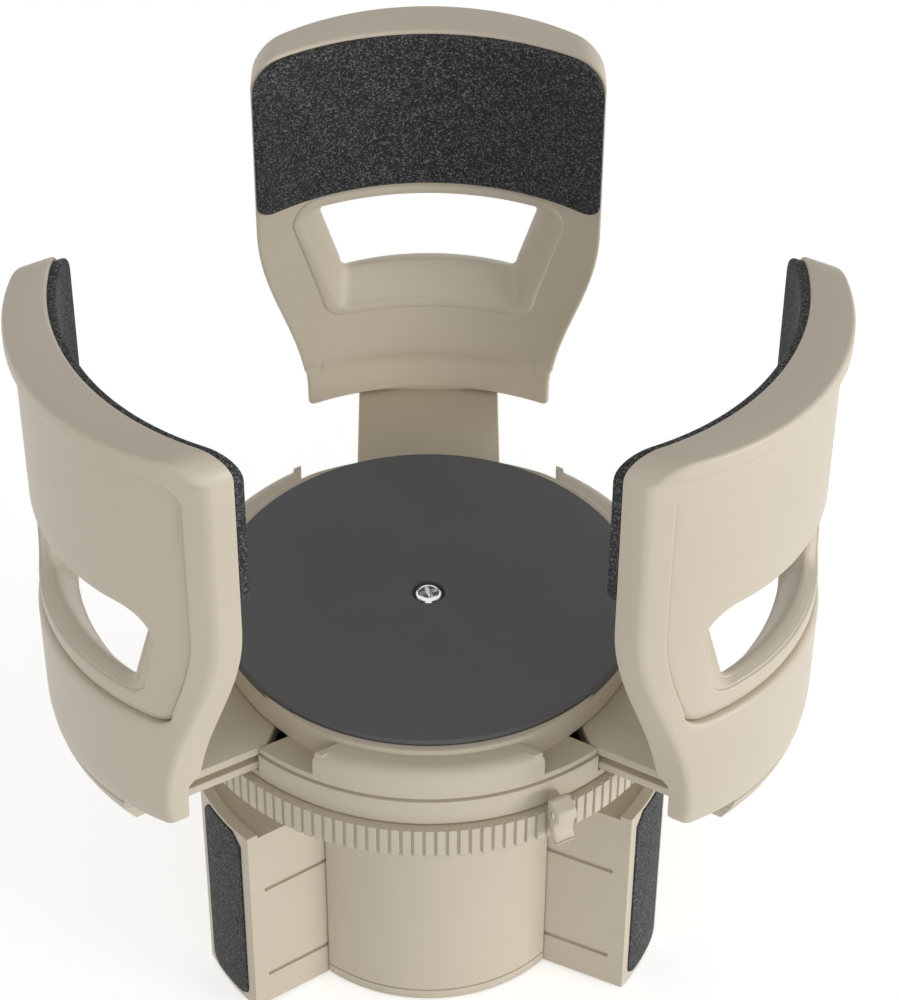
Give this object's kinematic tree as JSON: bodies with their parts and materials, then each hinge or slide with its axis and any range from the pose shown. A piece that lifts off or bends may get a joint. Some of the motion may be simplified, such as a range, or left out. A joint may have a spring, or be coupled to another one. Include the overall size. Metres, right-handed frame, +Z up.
{
  "type": "car cup holder expander",
  "caption": "Cup holder expander for a car: a finned base tube that grips the car's cup holder, a knurled ring that spreads the fins, and a round deck with sliding arms that grip a wide cup.",
  "frame": {"origin": "centre of the base tube's underside, on the tube's axis", "axes": "+Z up along the tube's axis, the back arm along +Y, the other two arms at 120 degrees to it"},
  "size_m": [0.1604, 0.151, 0.1823],
  "materials": {
    "shell": "fine satin",
    "grip": "fine speckled grain",
    "mat": "matte",
    "dark_plastic": "matte",
    "bright_screw": "polished",
    "steel": "ground"
  },
  "bodies": {
    "base": {"base_tube": "shell", "bottom_cap": "shell", "bottom_screws": "steel", "lower_housing": "shell", "deck_shell": "shell", "deck_mat": "mat", "centre_screw": "bright_screw", "screw_washer": "bright_screw", "lever_pin": "steel"},
    "ring": {"twist_ring": "shell"},
    "scroll": {"scroll_plate": "dark_plastic"},
    "lever": {"lock_lever": "shell"},
    "fin_back": {"fin_back": "shell", "fin_pad_back": "grip", "fin_pin_back": "steel"},
    "fin_left": {"fin_left": "shell", "fin_pad_left": "grip", "fin_pin_left": "steel"},
    "fin_right": {"fin_right": "shell", "fin_pad_right": "grip", "fin_pin_right": "steel"},
    "arm_back": {"arm_back": "shell", "arm_cover_back": "shell", "arm_liner_back": "grip", "arm_pin_back": "steel"},
    "arm_left": {"arm_left": "shell", "arm_cover_left": "shell", "arm_liner_left": "grip", "arm_pin_left": "steel"},
    "arm_right": {"arm_right": "shell", "arm_cover_right": "shell", "arm_liner_right": "grip", "arm_pin_right": "steel"}
  },
  "joints": [
    {"name": "ring_turn", "type": "hinge", "parent": "base", "child": "ring", "pos_m": [0, 0, 0.0719], "axis": [0, 0, 1], "range_deg": [0, 90]},
    {"name": "scroll_turn", "type": "hinge", "parent": "base", "child": "scroll", "pos_m": [0, 0, 0.0762], "axis": [0, 0, 1], "range_deg": [0, 110]},
    {"name": "lever_rock", "type": "hinge", "parent": "base", "child": "lever", "pos_m": [0.02773, -0.05003, 0.0776], "axis": [0.8746, 0.4848, 0], "range_deg": [0, 6]},
    {"name": "fin_back_slide", "type": "slide", "parent": "base", "child": "fin_back", "axis": [-0.0698, 0.9976, 0], "range_m": [-0.018, 0]},
    {"name": "fin_left_slide", "type": "slide", "parent": "base", "child": "fin_left", "axis": [-0.829, -0.5592, 0], "range_m": [-0.018, 0]},
    {"name": "fin_right_slide", "type": "slide", "parent": "base", "child": "fin_right", "axis": [0.8988, -0.4384, 0], "range_m": [-0.018, 0]},
    {"name": "arm_back_slide", "type": "slide", "parent": "base", "child": "arm_back", "axis": [0, 1, 0], "range_m": [-0.032, 0]},
    {"name": "arm_left_slide", "type": "slide", "parent": "base", "child": "arm_left", "axis": [-0.866, -0.5, 0], "range_m": [-0.032, 0]},
    {"name": "arm_right_slide", "type": "slide", "parent": "base", "child": "arm_right", "axis": [0.866, -0.5, 0], "range_m": [-0.032, 0]}
  ],
  "couplings": [
    {"joint": "fin_back_slide", "follows": "ring_turn", "m_per_rad": -0.011459},
    {"joint": "fin_left_slide", "follows": "ring_turn", "m_per_rad": -0.011459},
    {"joint": "fin_right_slide", "follows": "ring_turn", "m_per_rad": -0.011459},
    {"joint": "arm_back_slide", "follows": "scroll_turn", "m_per_rad": -0.016667},
    {"joint": "arm_left_slide", "follows": "scroll_turn", "m_per_rad": -0.016667},
    {"joint": "arm_right_slide", "follows": "scroll_turn", "m_per_rad": -0.016667}
  ]
}
